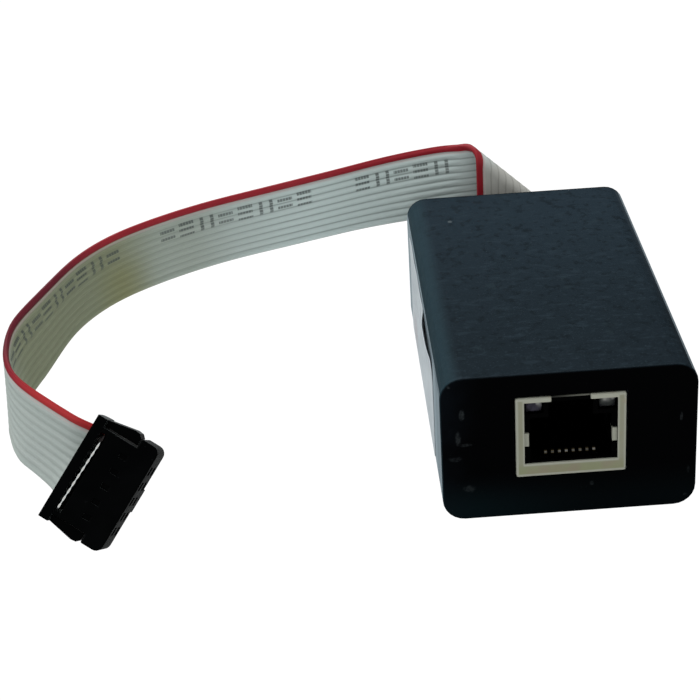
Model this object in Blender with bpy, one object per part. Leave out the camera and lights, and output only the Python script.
"""Small in-circuit programmer: a moulded box with a shielded modular jack at the
front, a mini-USB receptacle at the back, and a 10-way ribbon lead that is folded
once behind the box, loops round to the left and ends in a 2 x 5 IDC socket.

Frame: origin at the centre of the case's bottom face, +Z up, the jack faces -Y,
+X is to the right when looking at the jack. All constants are in millimetres and
degrees. A "span" is a (low, high) pair along one axis.
"""

import math

import bmesh
import bpy
from mathutils import Matrix, Vector

MM = 0.001
SIDES = ((-1, "left"), (1, "right"))
OVERCUT = 2.0  # cutters run this far past the face they open
CASE_OVERCUT = 3.0  # the same, for the case and its rear panel

# Base colour, roughness, metallic.
LOOKS = {
    "slate": ((0.020, 0.030, 0.038), 0.62, 0.0),
    "black": ((0.010, 0.011, 0.012), 0.45, 0.0),
    "socket": ((0.008, 0.009, 0.010), 0.32, 0.0),
    "label": ((0.62, 0.67, 0.69), 0.5, 0.0),
    "board": ((0.02, 0.16, 0.07), 0.4, 0.0),
    "tin": ((0.62, 0.60, 0.52), 0.32, 1.0),
    "gold": ((0.80, 0.60, 0.25), 0.25, 1.0),
    "clear": ((0.55, 0.52, 0.60), 0.2, 0.0),
    "ribbon": ((0.38, 0.42, 0.40), 0.5, 0.0),
    "epoxy": ((0.015, 0.015, 0.016), 0.55, 0.0),
    "can": ((0.60, 0.61, 0.63), 0.28, 1.0),
}
SHARP_ANGLE = 35  # edges sharper than this stay sharp on smooth pieces

for leftover in list(bpy.data.objects):
    bpy.data.objects.remove(leftover, do_unlink=True)


# ---- spans and outlines -------------------------------------------------------
def around(middle, size):
    return middle - size / 2, middle + size / 2


def grown(span, margin):
    return span[0] - margin, span[1] + margin


def side_span(side, inner, outer, middle=0.0):
    """The span between two distances from the middle, on the side given by -1 or 1."""
    return tuple(sorted((middle + side * inner, middle + side * outer)))


def quarter_arc(x, z, radius, start, steps):
    """Points of a quarter circle, counter-clockwise from the start angle."""
    angles = [math.radians(start + 90 * i / steps) for i in range(steps + 1)]
    return [(x + radius * math.cos(a), z + radius * math.sin(a)) for a in angles]


def rounded(x, z, width, height, radius, steps):
    """Outline of a rounded rectangle, counter-clockwise."""
    points = []
    for x_sign, z_sign, start in ((1, 1, 0), (-1, 1, 90), (-1, -1, 180), (1, -1, 270)):
        corner_x = x + x_sign * (width / 2 - radius)
        corner_z = z + z_sign * (height / 2 - radius)
        points += quarter_arc(corner_x, corner_z, radius, start, steps)
    return points


# ---- objects ------------------------------------------------------------------
def finish(name, look):
    colour, roughness, metallic = LOOKS[look]
    material = bpy.data.materials.new(name + "_finish")
    material.use_nodes = True
    inputs = material.node_tree.nodes["Principled BSDF"].inputs
    inputs["Base Color"].default_value = (*colour, 1.0)
    inputs["Roughness"].default_value = roughness
    inputs["Metallic"].default_value = metallic
    return material


def to_object(name, bm, look=None, matrix=None, smooth=False):
    """An object from a bmesh in millimetres. With no look it is a hidden helper."""
    bmesh.ops.recalc_face_normals(bm, faces=bm.faces)
    bmesh.ops.scale(bm, vec=(MM, MM, MM), verts=bm.verts)
    mesh = bpy.data.meshes.new(name)
    bm.to_mesh(mesh)
    bm.free()
    obj = bpy.data.objects.new(name, mesh)
    bpy.context.scene.collection.objects.link(obj)
    if matrix is not None:
        obj.matrix_basis = matrix
    if look:
        mesh.materials.append(finish(name, look))
        if smooth:
            mesh.shade_smooth()
            mesh.set_sharp_from_angle(angle=math.radians(SHARP_ANGLE))
    else:
        obj.hide_render = True
        obj.display_type = "WIRE"
    return obj


def blocks(name, boxes, look=None, matrix=None):
    """Separate boxes in one object, each given by its x, y and z spans."""
    bm = bmesh.new()
    for box in boxes:
        made = bmesh.ops.create_cube(bm, size=1.0)
        size = [high - low for low, high in box]
        centre = [(high + low) / 2 for low, high in box]
        bmesh.ops.scale(bm, vec=size, verts=made["verts"])
        bmesh.ops.translate(bm, vec=centre, verts=made["verts"])
    return to_object(name, bm, look, matrix)


def block(name, x, y, z, look=None, bevel=0.0, matrix=None):
    obj = blocks(name, [(x, y, z)], look, matrix)
    if bevel:
        bevelled(obj, bevel)
    return obj


def prism(name, outline, axis, span, look=None, smooth=False, matrix=None):
    """An outline extruded along an axis. Its points are on the other two axes, in order."""
    low, high = span
    depth = "xyz".index(axis)
    bm = bmesh.new()
    corners = [(*point[:depth], low, *point[depth:]) for point in outline]
    face = bm.faces.new([bm.verts.new(corner) for corner in corners])
    extruded = bmesh.ops.extrude_face_region(bm, geom=[face])
    step = [0, 0, 0]
    step[depth] = high - low
    verts = [v for v in extruded["geom"] if isinstance(v, bmesh.types.BMVert)]
    bmesh.ops.translate(bm, vec=step, verts=verts)
    return to_object(name, bm, look, matrix, smooth)


def bevelled(obj, width, segments=1, angle=40):
    mod = obj.modifiers.new("edge_round", "BEVEL")
    mod.width = width * MM
    mod.segments = segments
    mod.limit_method = "ANGLE"
    mod.angle_limit = math.radians(angle)
    mod.harden_normals = False


def combine(obj, other, prefix, operation):
    mod = obj.modifiers.new(prefix + other.name, "BOOLEAN")
    mod.operation = operation
    mod.solver = "EXACT"
    mod.object = other


def cut(obj, cutter):
    combine(obj, cutter, "cut_", "DIFFERENCE")


def fuse(obj, other):
    combine(obj, other, "join_", "UNION")


def placed(x, y, z):
    return Matrix.Translation(Vector((x, y, z)) * MM)


def hold(obj, parent):
    """Parents an object and leaves it where it is. Every parent's own matrix is in world terms."""
    obj.parent = parent
    obj.matrix_parent_inverse = parent.matrix_basis.inverted()


def pivot(name, matrix, parent=None):
    empty = bpy.data.objects.new(name, None)
    empty.empty_display_size = 0.004
    bpy.context.scene.collection.objects.link(empty)
    empty.matrix_basis = matrix
    if parent:
        hold(empty, parent)
    return empty


# ---- sizes shared between sections ----------------------------------------------
CASE_W = 37.7
CASE_L = 66.0
CASE_H = 23.9
WALL = 1.6
HALF_L = CASE_L / 2
IN_W = CASE_W - 2 * WALL
IN_H = CASE_H - 2 * WALL
MID_Z = CASE_H / 2

BOARD_TOP = 6.65
BOARD_T = 1.6
BOARD_BOTTOM = BOARD_TOP - BOARD_T

JACK_X = 0.2
JACK_W = 16.2
JACK_H = 13.15
JACK_Z = 6.9
JACK_TOP = JACK_Z + JACK_H
JACK_X_SPAN = around(JACK_X, JACK_W)

USB_X = 11.6
USB_W = 7.7
USB_H = 3.9
USB_Z = 6.8
USB_X_SPAN = around(USB_X, USB_W)

WIRES = 10
PITCH = 1.27
RIBBON_W = WIRES * PITCH
RIBBON_T = 0.9
RIBBON_X = -6.0  # edge of the red conductor where it leaves the case
RIBBON_MID = RIBBON_X + RIBBON_W / 2
EXIT_Z = 12.6  # height of the ribbon inside the case

PIN_COLUMNS = 5
PIN_PITCH = 2.54


def pin_grid(x, y):
    """Places of the 2 x 5 pins round a centre, row by row."""
    return [
        (x + (column - 2) * PIN_PITCH, y + (row - 0.5) * PIN_PITCH)
        for row in range(2)
        for column in range(PIN_COLUMNS)
    ]


# ---- case ---------------------------------------------------------------------
CASE_R = 3.3  # long edges
FRONT_T = 1.8  # the front wall is moulded in one with the shell
WINDOW_DEPTH = 4.0  # the case's windows are cut this far in from its ends
JACK_CLEARANCE = 0.2
GUIDE_Y = (-31.6, 30.6)
GUIDE_REACH = 1.3  # inwards from the wall
GUIDE_ROOT = 0.6  # into the wall
GUIDE_NEAR = 0.2  # the near and far faces, from the board
GUIDE_FAR = 1.5
LABEL_T = 0.12
LABEL_GAP = 0.05
LABEL_Y = (-20.5, 25.0)
LABEL_Z = (3.4, 20.6)


def build_case():
    outline = rounded(0, MID_Z, CASE_W, CASE_H, CASE_R, 6)
    shell = prism("case_shell", outline, "y", (-HALF_L, HALF_L), "slate", smooth=True)
    bevelled(shell, 0.5, segments=3, angle=60)
    hollow = rounded(0, MID_Z, IN_W, IN_H, CASE_R - WALL, 4)
    hollow_y = (-HALF_L + FRONT_T, HALF_L + CASE_OVERCUT)
    cut(shell, prism("shell_hollow", hollow, "y", hollow_y))
    window = block(
        "jack_window",
        grown(JACK_X_SPAN, JACK_CLEARANCE),
        (-HALF_L - CASE_OVERCUT, -HALF_L + WINDOW_DEPTH),
        grown((JACK_Z, JACK_TOP), JACK_CLEARANCE),
    )
    cut(shell, window)
    # Two pairs of card guides hold the board's long edges.
    for side, word in SIDES:
        guide_x = side_span(side, IN_W / 2 - GUIDE_REACH, IN_W / 2 + GUIDE_ROOT)
        for place, guide_z in (
            ("lower", (BOARD_BOTTOM - GUIDE_FAR, BOARD_BOTTOM - GUIDE_NEAR)),
            ("upper", (BOARD_TOP + GUIDE_NEAR, BOARD_TOP + GUIDE_FAR)),
        ):
            fuse(shell, block(f"guide_{word}_{place}", guide_x, GUIDE_Y, guide_z))


def build_side_label():
    """A blank paper label on the left side."""
    outer_x = -CASE_W / 2 - LABEL_GAP
    block("side_label", (outer_x - LABEL_T, outer_x), LABEL_Y, LABEL_Z, "label")


# ---- rear panel ---------------------------------------------------------------
PANEL_T = 1.6
PANEL_IN = 0.1  # the panel sits this far inside the shell's end
PANEL_GAP = 0.15
PANEL_W = IN_W - 2 * PANEL_GAP
PANEL_H = IN_H - 2 * PANEL_GAP
PANEL_OUT = HALF_L - PANEL_IN
LIP_W = 22.0
LIP_T = 0.9
LIP_L = 2.6  # ahead of the panel
LIP_ROOT_IN = 0.5  # the lip's back end, from the panel's outer face
LIP_INSET = 0.02
RIBBON_SLOT_MARGIN = 0.45
RIBBON_SLOT_H = 1.6
USB_CLEARANCE = 0.3


def build_rear_panel():
    """A plate that closes the back, with lips inside the top and bottom walls."""
    outline = rounded(0, MID_Z, PANEL_W, PANEL_H, CASE_R - WALL - PANEL_GAP, 4)
    inner_y = PANEL_OUT - PANEL_T
    panel = prism("rear_panel", outline, "y", (inner_y, PANEL_OUT), "black", smooth=True)
    bottom, top = around(MID_Z, PANEL_H)
    for word, lip_z in (
        ("top", (top - LIP_T, top - LIP_INSET)),
        ("bottom", (bottom + LIP_INSET, bottom + LIP_T)),
    ):
        lip_y = (inner_y - LIP_L, PANEL_OUT - LIP_ROOT_IN)
        fuse(panel, block(f"rear_panel_{word}_lip", around(0, LIP_W), lip_y, lip_z))
    window_y = (HALF_L - WINDOW_DEPTH, HALF_L + CASE_OVERCUT)
    ribbon_slot = (
        grown(around(RIBBON_MID, RIBBON_W), RIBBON_SLOT_MARGIN),
        window_y,
        around(EXIT_Z, RIBBON_SLOT_H),
    )
    usb_window = (
        grown(USB_X_SPAN, USB_CLEARANCE),
        window_y,
        grown((USB_Z, USB_Z + USB_H), USB_CLEARANCE),
    )
    cut(panel, blocks("rear_windows", [ribbon_slot, usb_window]))


# ---- board and its parts --------------------------------------------------------
BOARD_W = 33.6
BOARD_Y = (-30.4, 30.4)
PART_Z = BOARD_TOP + 0.15

CHIP_H = 1.9
CHIP_STANDOFF = 0.15
CHIP_BEVEL = 0.2
LEAD_PITCH = 1.27
LEAD_W = 0.4
LEAD_Z = (PART_Z + 0.3, PART_Z + 0.5)
LEAD_IN = 0.4  # inside the package
LEAD_OUT = 0.9  # outside it
# Name, centre x and y, width, length.
CHIPS = (
    ("microcontroller", -7.5, 6.0, 7.4, 10.2),
    ("network_controller", 6.5, 2.5, 6.4, 9.0),
)
# Name, x span, y span, height, bevel.
SQUARE_PARTS = (
    ("line_transformer", (-6.0, 6.4), (-13.4, -5.6), 5.2, 0.4),
    ("voltage_regulator", (9.4, 12.9), (12.4, 18.9), 1.7, 0.2),
)
CRYSTAL_CENTRE = (-7.5, -2.7)
CRYSTAL_SIZE = (10.6, 3.6)
CRYSTAL_R = 1.7
CRYSTAL_H = 3.4
CAPACITOR_CENTRE = (12.4, -8.6)
CAPACITOR_R = 3.0
CAPACITOR_H = 6.6
CAPACITOR_STEPS = 20


def build_chip(name, x, y, width, length):
    """A square-edged epoxy package with a row of flat leads down each long side."""
    body = block(
        name,
        around(x, width),
        around(y, length),
        (PART_Z + CHIP_STANDOFF, PART_Z + CHIP_H),
        "epoxy",
        CHIP_BEVEL,
    )
    count = int(length / LEAD_PITCH) - 1
    for side, word in SIDES:
        lead_x = side_span(side, width / 2 - LEAD_IN, width / 2 + LEAD_OUT, x)
        leads = [
            (lead_x, around(y + (i - (count - 1) / 2) * LEAD_PITCH, LEAD_W), LEAD_Z)
            for i in range(count)
        ]
        fuse(body, blocks(f"{name}_{word}_leads", leads))


def build_board_parts():
    for chip in CHIPS:
        build_chip(*chip)
    for name, x, y, height, bevel in SQUARE_PARTS:
        block(name, x, y, (PART_Z, PART_Z + height), "epoxy", bevel)
    crystal = rounded(*CRYSTAL_CENTRE, *CRYSTAL_SIZE, CRYSTAL_R, 4)
    prism("crystal_can", crystal, "z", (PART_Z, PART_Z + CRYSTAL_H), "can", smooth=True)
    x, y = CAPACITOR_CENTRE
    angles = [2 * math.pi * i / CAPACITOR_STEPS for i in range(CAPACITOR_STEPS)]
    circle = [(x + CAPACITOR_R * math.cos(a), y + CAPACITOR_R * math.sin(a)) for a in angles]
    can_z = (PART_Z, PART_Z + CAPACITOR_H)
    capacitor = prism("bulk_capacitor", circle, "z", can_z, "can", smooth=True)
    bevelled(capacitor, 0.3, angle=60)


# ---- modular jack: shield -------------------------------------------------------
JACK_FRONT = -33.3
JACK_BACK = JACK_FRONT + 18.0
SHIELD_T = 0.25
FRAME_T = 0.3
OPEN_W = 13.7
OPEN_Z0 = JACK_Z + 2.2
OPEN_Z1 = JACK_TOP - 0.7
NOTCH_W = 5.7  # the latch notch, out through the top of the front frame
NOTCH_CHAMFER = 0.12
SPRING_X = 6.75  # root of the side springs, from the jack's middle
SPRING_Y = -27.9
SPRING_Z = 12.9
SPRING_W = 2.2
# x (positive outwards) and y of the right leaf spring, from its root.
SPRING_OUTLINE = (
    (-0.12, 0.2), (0.12, 0.2), (0.12, -0.6), (-0.30, -4.2), (0.10, -4.6),
    (0.10, -4.85), (-0.62, -4.85), (-0.62, -4.1), (-0.12, -0.7),
)


def build_jack_shield():
    shield = block(
        "jack_shield", JACK_X_SPAN, (JACK_FRONT, JACK_BACK), (JACK_Z, JACK_TOP), "tin"
    )
    bevelled(shield, 0.3, segments=2)
    hollow = block(
        "shield_hollow",
        grown(JACK_X_SPAN, -SHIELD_T),
        (JACK_FRONT + FRAME_T, JACK_BACK + OVERCUT),
        grown((JACK_Z, JACK_TOP), -SHIELD_T),
    )
    cut(shield, hollow)
    left, right = around(JACK_X, OPEN_W)
    notch_left, notch_right = around(JACK_X, NOTCH_W)
    opening = [
        (left, OPEN_Z0),
        (right, OPEN_Z0),
        (right, OPEN_Z1),
        (notch_right + NOTCH_CHAMFER, OPEN_Z1),
        (notch_right, OPEN_Z1 + NOTCH_CHAMFER),
        (notch_right, JACK_TOP + 1),
        (notch_left, JACK_TOP + 1),
        (notch_left, OPEN_Z1 + NOTCH_CHAMFER),
        (notch_left - NOTCH_CHAMFER, OPEN_Z1),
        (left, OPEN_Z1),
    ]
    opening_y = (JACK_FRONT - OVERCUT, JACK_FRONT + FRAME_T + 0.1)
    cut(shield, prism("shield_opening", opening, "y", opening_y))


def build_shield_springs():
    """Short leaves behind the frame, rooted at the back and bowed inwards."""
    for side, word in SIDES:
        root = placed(JACK_X + side * SPRING_X, SPRING_Y, SPRING_Z)
        outline = [(side * x, y) for x, y in SPRING_OUTLINE]
        name = f"shield_spring_{word}"
        spring = prism(name, outline, "z", around(0, SPRING_W), "tin", matrix=root)
        hold(spring, pivot(name + "_pivot", root))


# ---- modular jack: housing and contacts -------------------------------------------
HOUSING_FRONT = JACK_FRONT + FRAME_T + 0.15
HOUSING_CUT_FRONT = HOUSING_FRONT - OVERCUT
HOUSING_INSET = 0.4
CAVITY_Z0 = 9.3
CAVITY_Z1 = 16.6
CONTACT_PIVOT = (-31.45, 10.2)  # y, z of the bend that the springs flex about
# Name, width, y span, z span.
HOUSING_CUTS = (
    ("plug_cavity", 11.9, (HOUSING_CUT_FRONT, -20.6), (CAVITY_Z0, CAVITY_Z1)),
    ("latch_channel", 6.5, (HOUSING_CUT_FRONT, -22.4), (CAVITY_Z1 - 1, JACK_TOP - 0.9)),
    ("contact_trough", 9.0, (-32.6, -21.4), (CAVITY_Z0 - 1.25, CAVITY_Z0 + 1)),
)
LEDGE_W = 9.2
LEDGE_Y = (-31.35, -30.7)
LEDGE_Z = (CAVITY_Z0 - 1.4, CONTACT_PIVOT[1] - 1.1)
# Pockets for the light pipes and for the shield's side springs.
# Name, inner and outer distance from the middle, back end, z span.
POCKETS = (
    ("light_pockets", 3.95, 6.75, -22.0, (OPEN_Z1 - 2.05, OPEN_Z1 + 0.15)),
    ("spring_pockets", 5.0, 7.3, -27.2, (11.5, 14.3)),
)
INDICATOR_X = (4.1, 6.6)  # inner and outer, from the jack's middle
INDICATOR_Y = (HOUSING_FRONT + 0.35, -22.3)
INDICATOR_H = 1.9
CONTACTS = 8
CONTACT_PITCH = 1.02
CONTACT_W = 0.4
CONTACT_T = 0.34
# y, z from the pivot: a short hook down, then the arm rising towards the back.
CONTACT_LINE = (
    (0.35, -0.75), (-0.25, -0.45), (0.0, 0.0), (3.2, 0.7), (7.6, 1.85), (8.5, 1.95),
)


def build_jack_housing():
    housing = block(
        "jack_housing",
        grown(JACK_X_SPAN, -HOUSING_INSET),
        (HOUSING_FRONT, JACK_BACK - HOUSING_INSET),
        grown((JACK_Z, JACK_TOP), -HOUSING_INSET),
        "black",
    )
    for name, width, y, z in HOUSING_CUTS:
        cut(housing, block(name, around(JACK_X, width), y, z))
    fuse(housing, block("contact_ledge", around(JACK_X, LEDGE_W), LEDGE_Y, LEDGE_Z))
    for name, inner, outer, back, z in POCKETS:
        boxes = [
            (side_span(side, inner, outer, JACK_X), (HOUSING_CUT_FRONT, back), z)
            for side, _ in SIDES
        ]
        cut(housing, blocks(name, boxes))


def build_indicators():
    """The two light pipes, above the plug cavity's shoulders."""
    z = (OPEN_Z1 - INDICATOR_H, OPEN_Z1)
    for side, word in SIDES:
        x = side_span(side, *INDICATOR_X, JACK_X)
        block(f"indicator_{word}", x, INDICATOR_Y, z, "clear", 0.15)


def wire_outline(line, thickness):
    """A band of constant thickness round a line in the y-z plane."""
    half = thickness / 2
    above, below = [], []
    for i, (y, z) in enumerate(line):
        before = line[max(i - 1, 0)]
        after = line[min(i + 1, len(line) - 1)]
        run = Vector((after[0] - before[0], after[1] - before[1])).normalized()
        above.append((y - run.y * half, z + run.x * half))
        below.append((y + run.y * half, z - run.x * half))
    return above + below[::-1]


def build_jack_contacts():
    """Bent wires that rise towards the back from a bend at the front lip."""
    holder = pivot("jack_contact_pivot", placed(JACK_X, *CONTACT_PIVOT))
    outline = wire_outline(CONTACT_LINE, CONTACT_T)
    for n in range(CONTACTS):
        x = JACK_X + (n - (CONTACTS - 1) / 2) * CONTACT_PITCH
        contact = prism(
            f"jack_contact_{n + 1}",
            outline,
            "x",
            around(0, CONTACT_W),
            "gold",
            matrix=placed(x, *CONTACT_PIVOT),
        )
        hold(contact, holder)


# ---- mini-USB receptacle --------------------------------------------------------
USB_BACK = 33.3
USB_FRONT = USB_BACK - 9.2
USB_WALL = 0.3
USB_END_T = 0.6
USB_FOOT_IN = 1.3  # the bottom's ends, in from the sides
USB_KNEE_IN = 0.8
USB_KNEE_Z = USB_Z + 1.2
USB_SIDE_Z = USB_Z + 1.9  # the upright sides start here
TONGUE_W = 5.2
TONGUE_Y = (USB_FRONT + 0.8, USB_BACK - 1.4)
TONGUE_Z = (USB_Z + 1.5, USB_Z + 2.5)


def usb_outline(margin):
    """The receptacle's outline, narrowed towards the bottom."""
    left, right = grown(USB_X_SPAN, margin)
    bottom, top = grown((USB_Z, USB_Z + USB_H), margin)
    return [
        (left + USB_FOOT_IN, bottom),
        (right - USB_FOOT_IN, bottom),
        (right - USB_KNEE_IN, USB_KNEE_Z),
        (right, USB_SIDE_Z),
        (right, top),
        (left, top),
        (left, USB_SIDE_Z),
        (left + USB_KNEE_IN, USB_KNEE_Z),
    ]


def build_usb():
    shell = prism("usb_shell", usb_outline(0), "y", (USB_FRONT, USB_BACK), "tin")
    hollow_y = (USB_FRONT + USB_END_T, USB_BACK + OVERCUT)
    cut(shell, prism("usb_hollow", usb_outline(-USB_WALL), "y", hollow_y))
    block("usb_tongue", around(USB_X, TONGUE_W), TONGUE_Y, TONGUE_Z, "black", 0.12)


# ---- board connector that the ribbon is pressed onto ------------------------------
CONNECTOR_Y = 20.0
CONNECTOR_L = 17.4
CONNECTOR_T = 6.1
CONNECTOR_BASE_Z = (6.8, 8.9)
CONNECTOR_TOP_L = 13.8
CONNECTOR_TOP_Z = 8.5
CONNECTOR_SLOT = 0.55  # from the ribbon's middle to the plastic on either side
CONNECTOR_COVER_TOP = EXIT_Z + 2.3
CONNECTOR_ARM_IN = 7.2  # the arms' inner faces, from the middle
CONNECTOR_ARM_T = 3.2
CONNECTOR_ARM_Z = (9.2, EXIT_Z + 1.2)
PIN_HOLE = 0.9
PIN_SIDE = 0.5
PIN_Z = (4.2, EXIT_Z - RIBBON_T / 2 - 0.2)
CONNECTOR_HOLE_Z = (5, 14)
BOARD_HOLE_Z = (3, 8)


def build_board_and_connector():
    board = block(
        "main_board", around(0, BOARD_W), BOARD_Y, (BOARD_BOTTOM, BOARD_TOP), "board"
    )
    x, y = around(RIBBON_MID, CONNECTOR_L), around(CONNECTOR_Y, CONNECTOR_T)
    body = block("board_connector_body", x, y, CONNECTOR_BASE_Z, "black")
    top = block(
        "board_connector_top",
        around(RIBBON_MID, CONNECTOR_TOP_L),
        y,
        (CONNECTOR_TOP_Z, EXIT_Z - CONNECTOR_SLOT),
    )
    fuse(body, top)
    cover_z = (EXIT_Z + CONNECTOR_SLOT, CONNECTOR_COVER_TOP)
    cover = block("board_connector_cover", x, y, cover_z, "black", 0.25)
    for side, word in SIDES:
        arm = block(
            f"board_connector_{word}_arm",
            side_span(side, CONNECTOR_ARM_IN, CONNECTOR_L / 2, RIBBON_MID),
            around(CONNECTOR_Y, CONNECTOR_ARM_T),
            CONNECTOR_ARM_Z,
        )
        fuse(cover, arm)
    pins = pin_grid(RIBBON_MID, CONNECTOR_Y)
    for part, name, z in (
        (body, "connector_pin_holes", CONNECTOR_HOLE_Z),
        (board, "board_pin_holes", BOARD_HOLE_Z),
    ):
        cut(part, blocks(name, [(around(x, PIN_HOLE), around(y, PIN_HOLE), z) for x, y in pins]))
    for n, (x, y) in enumerate(pins):
        block(f"board_pin_{n + 1}", around(x, PIN_SIDE), around(y, PIN_SIDE), PIN_Z, "tin")


# ---- ribbon: from the board connector to the end of the fold ------------------------
# A point of the ribbon is given across it from the red edge and along it.
EXIT_Y = 17.0  # cut end over the board connector
RISER_Y = 38.5
BEND_R = 3.0
FOLD_Z = 27.5  # the fold starts at this height on the red edge
FOLD_ANGLE = 43.0  # of the fold line below horizontal
FOLD_R = 1.3

STRAIGHT = RISER_Y - BEND_R - EXIT_Y
BEND_LENGTH = math.pi / 2 * BEND_R
THETA = math.radians(FOLD_ANGLE)
FOLD_ALONG = Vector((math.cos(THETA), 0, -math.sin(THETA)))  # along the fold line
FOLD_ACROSS = Vector((math.sin(THETA), 0, math.cos(THETA)))
FOLD_START = Vector((RIBBON_X, RISER_Y, FOLD_Z))
BACK = Vector((0, 1, 0))
RISER_S = STRAIGHT + BEND_LENGTH  # the ribbon is upright from here
RISER_Z = EXIT_Z + BEND_R
FOLD_END_S = RISER_S + (FOLD_Z - RISER_Z) + math.pi * FOLD_R / math.cos(THETA)


def near_case(across, along):
    """Place and normal of a point of the ribbon up to the end of the fold."""
    x = RIBBON_X + across
    if along <= STRAIGHT:
        return Vector((x, EXIT_Y + along, EXIT_Z)), Vector((0, 0, -1))
    if along <= RISER_S:
        angle = (along - STRAIGHT) / BEND_R
        y = EXIT_Y + STRAIGHT + BEND_R * math.sin(angle)
        z = EXIT_Z + BEND_R * (1 - math.cos(angle))
        return Vector((x, y, z)), Vector((0, math.sin(angle), -math.cos(angle)))
    height = RISER_Z + (along - RISER_S) - FOLD_Z
    down_line = across * math.cos(THETA) - height * math.sin(THETA)
    past_line = across * math.sin(THETA) + height * math.cos(THETA)
    base = FOLD_START + down_line * FOLD_ALONG
    if past_line <= 0:
        return base + past_line * FOLD_ACROSS, BACK.copy()
    if past_line < math.pi * FOLD_R:
        angle = past_line / FOLD_R
        rise = FOLD_R * math.sin(angle) * FOLD_ACROSS
        place = base + rise + FOLD_R * (1 - math.cos(angle)) * BACK
        return place, math.cos(angle) * BACK - math.sin(angle) * FOLD_ACROSS
    return base - (past_line - math.pi * FOLD_R) * FOLD_ACROSS + 2 * FOLD_R * BACK, -BACK


# ---- ribbon: the free lead ----------------------------------------------------------
# Length, bend about the width, twist.
LEAD = (
    (4.0, -4.0, 7.0),
    (16.0, -12.5, -12.5),
    (20.0, 0.5, -3.0),
    (20.5, -14.5, 1.5),
    (17.5, -36.5, 0.5),
    (13.5, -1.0, 10.5),
    (8.5, -13.0, -19.0),
    (11.5, -62.5, -15.5),
    (7.5, 8.5, -1.5),
    (4.65, -14.0, -28.5),
)
LEAD_STEPS = 8
TAIL_STEPS = 6
JOINTS_AT = (9.0, 48.0, 88.0, 121.6)  # along the lead, from the end of the fold
JOINT_GAP = 0.3
HALF_GAP = JOINT_GAP / 2
PIECES = ("ribbon_run", "ribbon_curve", "ribbon_loop", "ribbon_plug_end")

SOCKET_T = 6.1
SOCKET_TURN = 9.2  # the socket leans back from the ribbon's end by this angle
ENTRY_R = 1.4  # the ribbon's last bend, behind the cover
ENTRY_GAP = 1.1  # between that bend and the back of the socket
TAIL_OUT = 0.1  # the ribbon's cut end stands out of the socket's near side


def turn(bend, twist):
    """Rotation in the ribbon's own frame (travel, width, normal)."""
    axis = Vector((math.radians(twist), math.radians(bend), 0))
    if axis.length < 1e-12:
        return Matrix.Identity(3)
    return Matrix.Rotation(axis.length, 3, axis.normalized())


def columns(*vectors):
    return Matrix(vectors).transposed()


def lead_stations(sections, place, frame, steps):
    """(distance, place, frame) along the lead; frame columns are travel, width, normal."""
    stations = [(0.0, place.copy(), frame.copy())]
    along = 0.0
    for length, bend, twist in sections:
        half = turn(bend / steps / 2, twist / steps / 2)
        full = turn(bend / steps, twist / steps)
        for _ in range(steps):
            place = place + (frame @ half).col[0] * (length / steps)
            frame = frame @ full
            along += length / steps
            stations.append((along, place.copy(), frame.copy()))
    return stations


TRAVEL = Vector((-math.sin(2 * THETA), 0, -math.cos(2 * THETA)))
WIDTH = Vector((math.cos(2 * THETA), 0, -math.sin(2 * THETA)))
free_lead = lead_stations(
    LEAD,
    near_case(RIBBON_W / 2, FOLD_END_S)[0],
    columns(TRAVEL, WIDTH, TRAVEL.cross(WIDTH)),
    LEAD_STEPS,
)
LEAD_LENGTH, lead_end, lead_end_frame = free_lead[-1]
# Behind the cover the ribbon turns into the slot between cover and body.
TAIL_TURN = 90.0 - SOCKET_TURN
tail = lead_stations(
    (
        (math.radians(TAIL_TURN) * ENTRY_R, TAIL_TURN, 0.0),
        (ENTRY_GAP + SOCKET_T + TAIL_OUT, 0.0, 0.0),
    ),
    lead_end,
    lead_end_frame,
    TAIL_STEPS,
)
whole_lead = free_lead + [(LEAD_LENGTH + s, place, frame) for s, place, frame in tail[1:]]


def lead_at(along):
    """Place and frame of the lead's middle line, between two stations."""
    for (s0, place0, frame0), (s1, place1, frame1) in zip(whole_lead, whole_lead[1:]):
        if along <= s1 + 1e-9:
            part = (along - s0) / (s1 - s0)
            facing = frame0.to_quaternion().slerp(frame1.to_quaternion(), part)
            return place0.lerp(place1, part), facing.to_matrix()
    return whole_lead[-1][1], whole_lead[-1][2]


def on_lead(across, along):
    place, frame = lead_at(along)
    return place + frame.col[1] * (across - RIBBON_W / 2), frame.col[2].copy()


def ribbon_rows(surface, distances, cells):
    """Rows of (place, normal), each split into equal cells across the ribbon."""
    return [[surface(RIBBON_W * j / cells, s) for j in range(cells + 1)] for s in distances]


def ribbon_piece(name, rows, matrix):
    """A flat band through rows of (place, normal), closed round its edges."""
    to_local = Matrix.Translation(-matrix.translation / MM)
    bm = bmesh.new()
    low, high = (
        [
            [
                bm.verts.new(to_local @ (place + normal.normalized() * (sign * RIBBON_T / 2)))
                for place, normal in row
            ]
            for row in rows
        ]
        for sign in (-1, 1)
    )
    last = len(rows[0]) - 1
    for i in range(len(rows) - 1):
        for j in range(last):
            for grid, step in ((low, -1), (high, 1)):
                quad = [grid[i][j], grid[i][j + 1], grid[i + 1][j + 1], grid[i + 1][j]]
                bm.faces.new(quad[::step])
        bm.faces.new((low[i][0], low[i + 1][0], high[i + 1][0], high[i][0]))
        bm.faces.new((low[i][last], high[i][last], high[i + 1][last], low[i + 1][last]))
    for j in range(last):
        bm.faces.new((low[0][j], high[0][j], high[0][j + 1], low[0][j + 1]))
        bm.faces.new((low[-1][j], low[-1][j + 1], high[-1][j + 1], high[-1][j]))
    bmesh.ops.triangulate(bm, faces=bm.faces)
    return to_object(name, bm, "ribbon", matrix, smooth=True)


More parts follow.
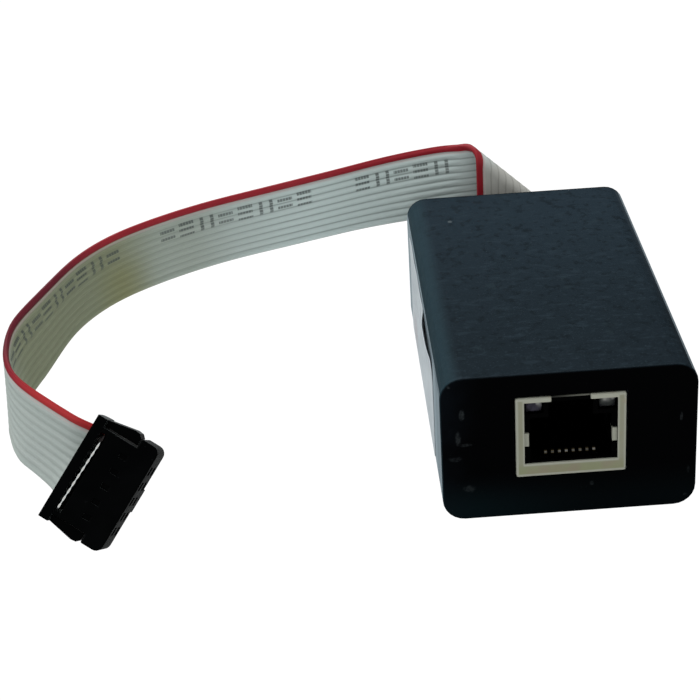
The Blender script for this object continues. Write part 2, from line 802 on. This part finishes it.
def spread(start, end, step):
    """Even distances from start to end, about a step apart."""
    count = max(1, round((end - start) / step))
    return [start + (end - start) * i / count for i in range(count + 1)]


def build_ribbon_case_end():
    """The ribbon from its cut end, up behind the case, over the fold to the first joint."""
    fixed = (
        [0.0, STRAIGHT]
        + spread(STRAIGHT, RISER_S, BEND_LENGTH / 5)[1:]
        + spread(RISER_S, FOLD_END_S, 0.95)[1:]
    )
    free = spread(0.0, JOINTS_AT[0] - HALF_GAP, 3.0)[1:]
    rows = ribbon_rows(near_case, fixed, WIRES) + ribbon_rows(on_lead, free, WIRES)
    ribbon_piece("ribbon_case_end", rows, Matrix.Identity(4))


def build_ribbon_lead():
    """The free pieces on a chain of pivots. Returns the last pivot."""
    ends = JOINTS_AT + (whole_lead[-1][0],)
    holder = None
    for name, start, end in zip(PIECES, ends, ends[1:]):
        joint = placed(*lead_at(start)[0])
        holder = pivot(name + "_pivot", joint, holder)
        if name == PIECES[-1]:
            bend_end = LEAD_LENGTH + tail[TAIL_STEPS][0]
            distances = spread(start + HALF_GAP, LEAD_LENGTH, 0.9)
            distances += spread(LEAD_LENGTH, bend_end, 0.45)[1:] + [end]
        else:
            distances = spread(start + HALF_GAP, end - HALF_GAP, 2.6)
        hold(ribbon_piece(name, ribbon_rows(on_lead, distances, 2), joint), holder)
    return holder


# ---- 2 x 5 IDC socket ---------------------------------------------------------------
# Local axes: X along the socket, Y from the cover to the mating face, Z out of
# its near side. The local origin is on the last pivot. Sizes are measured from
# the corner: the top edge of the near side, at mid length.
SOCKET_L = 17.4
SOCKET_H = 10.5
SLOT_AT = 2.1  # centre of the ribbon below the top of the cover
BODY_TOP = 2.65
SHOULDER_Y = 7.3  # top of the body's full-length part
NOSE_R = 1.2  # rounding of the body's ends at the mating face
NOSE_STEPS = 5
WAIST_L = 14.4
WAIST_END = 8.0
POST_X = (6.5, 7.25)  # inner and outer, from mid length
KEY_W = 3.8
KEY_TOP = 5.2
KEY_OUT = 1.1
WINDOW_W = 0.8
WINDOW_Y = (5.6, 6.9)
WINDOW_CUT = 0.35
HOLE_SIDE = 1.4
HOLE_TOP = 4.4
CONTACT_X_W = 0.9
CONTACT_Y = (4.6, SOCKET_H - 0.6)
CONTACT_Z = (0.25, 0.5)  # inner and outer face, from the hole's centre

COVER_L = 17.0
COVER_T = 1.55
COVER_ROUND = (1.4, 2.2)  # extent of the back edge's rounding in y and z
COVER_ROUND_STEPS = 5
COVER_BACK = -SOCKET_T + 0.9
ARM_Z = (-4.4, -1.2)
# x (positive outwards) and y: the right arm widens to a hook over the shoulder.
ARM_OUTLINE = (
    (7.45, COVER_T - 0.6), (8.45, COVER_T - 0.6), (8.45, 1.6), (9.2, 5.7),
    (9.1, 6.5), (8.6, 7.0), (7.45, 7.0),
)

_, tail_end, tail_frame = tail[-1]
INWARD, ALONG, DOWN = (tail_frame.col[i].copy() for i in range(3))
corner = tail_end - INWARD * TAIL_OUT - DOWN * SLOT_AT
socket_origin = lead_at(JOINTS_AT[3])[0]
socket_axes = columns(ALONG, DOWN, INWARD)
SHIFT = socket_axes.transposed() @ (corner - socket_origin)
SOCKET = Matrix.Translation(socket_origin * MM) @ socket_axes.to_4x4()


def from_corner(*spans):
    return [(base + low, base + high) for base, (low, high) in zip(SHIFT, spans)]


def socket_block(name, x, y, z, look=None):
    return block(name, *from_corner(x, y, z), look, matrix=SOCKET)


def socket_blocks(name, boxes):
    return blocks(name, [from_corner(*box) for box in boxes], matrix=SOCKET)


def socket_prism(name, outline, axis, span, look=None):
    depth = "xyz".index(axis)
    first, second = (SHIFT[i] for i in range(3) if i != depth)
    moved = [(first + a, second + b) for a, b in outline]
    low, high = span
    base = SHIFT[depth]
    return prism(name, moved, axis, (base + low, base + high), look, matrix=SOCKET)


def build_socket_body(holder):
    half = SOCKET_L / 2
    outline = [(-half, SHOULDER_Y), (half, SHOULDER_Y)]
    for side, start in ((1, 0), (-1, 90)):
        centre = (side * (half - NOSE_R), SOCKET_H - NOSE_R)
        outline += quarter_arc(*centre, NOSE_R, start, NOSE_STEPS)
    body = socket_prism("socket_body", outline, "z", (-SOCKET_T, 0), "socket")
    bevelled(body, 0.2, segments=2, angle=50)
    waist_y = (BODY_TOP, WAIST_END)
    fuse(body, socket_block("socket_waist", around(0, WAIST_L), waist_y, (-SOCKET_T, 0)))
    # Posts at both ends of the slot keep the ribbon in line.
    post_y = (COVER_T + 0.06, BODY_TOP + 1)
    for side, _ in SIDES:
        post_x = side_span(side, *POST_X)
        fuse(body, socket_block("socket_post", post_x, post_y, (-SOCKET_T + 0.3, -0.05)))
    key_z = (-SOCKET_T - KEY_OUT, -SOCKET_T + 1)
    fuse(body, socket_block("socket_key", around(0, KEY_W), (KEY_TOP, SOCKET_H), key_z))
    # Shallow windows down the near side, over the contacts.
    windows = [
        (around((column - 2) * PIN_PITCH, WINDOW_W), WINDOW_Y, (-WINDOW_CUT, 1))
        for column in range(PIN_COLUMNS)
    ]
    cut(body, socket_blocks("socket_windows", windows))
    holes = [
        (around(x, HOLE_SIDE), (HOLE_TOP, SOCKET_H + OVERCUT), around(z, HOLE_SIDE))
        for x, z in pin_grid(0, -SOCKET_T / 2)
    ]
    cut(body, socket_blocks("socket_holes", holes))
    hold(body, holder)


def build_socket_cover(holder):
    """The cover's back edge is rounded where the ribbon wraps over it."""
    round_y, round_z = COVER_ROUND
    outline = [(0.0, 0.0), (0.0, COVER_BACK + round_z)]
    for i in range(1, COVER_ROUND_STEPS + 1):
        angle = math.radians(90 * i / COVER_ROUND_STEPS)
        y = round_y - round_y * math.cos(angle)
        outline.append((y, COVER_BACK + round_z - round_z * math.sin(angle)))
    outline += [(COVER_T, COVER_BACK), (COVER_T, 0.0)]
    cover = socket_prism("socket_cover", outline, "x", around(0, COVER_L), "socket")
    for side, word in SIDES:
        arm = [(side * x, y) for x, y in ARM_OUTLINE]
        fuse(cover, socket_prism(f"cover_{word}_arm", arm, "z", ARM_Z))
    hold(cover, holder)


def build_socket_contacts(holder):
    """One flat contact against the outer wall of each hole."""
    for n, (x, z) in enumerate(pin_grid(0, -SOCKET_T / 2)):
        side = -1 if n < PIN_COLUMNS else 1
        contact = socket_block(
            f"socket_contact_{n + 1}",
            around(x, CONTACT_X_W),
            CONTACT_Y,
            side_span(side, *CONTACT_Z, z),
            "gold",
        )
        hold(contact, holder)


build_case()
build_side_label()
build_rear_panel()
build_board_and_connector()
build_board_parts()
build_jack_shield()
build_jack_housing()
build_indicators()
build_shield_springs()
build_jack_contacts()
build_usb()
build_ribbon_case_end()
plug_pivot = build_ribbon_lead()
build_socket_body(plug_pivot)
build_socket_cover(plug_pivot)
build_socket_contacts(plug_pivot)
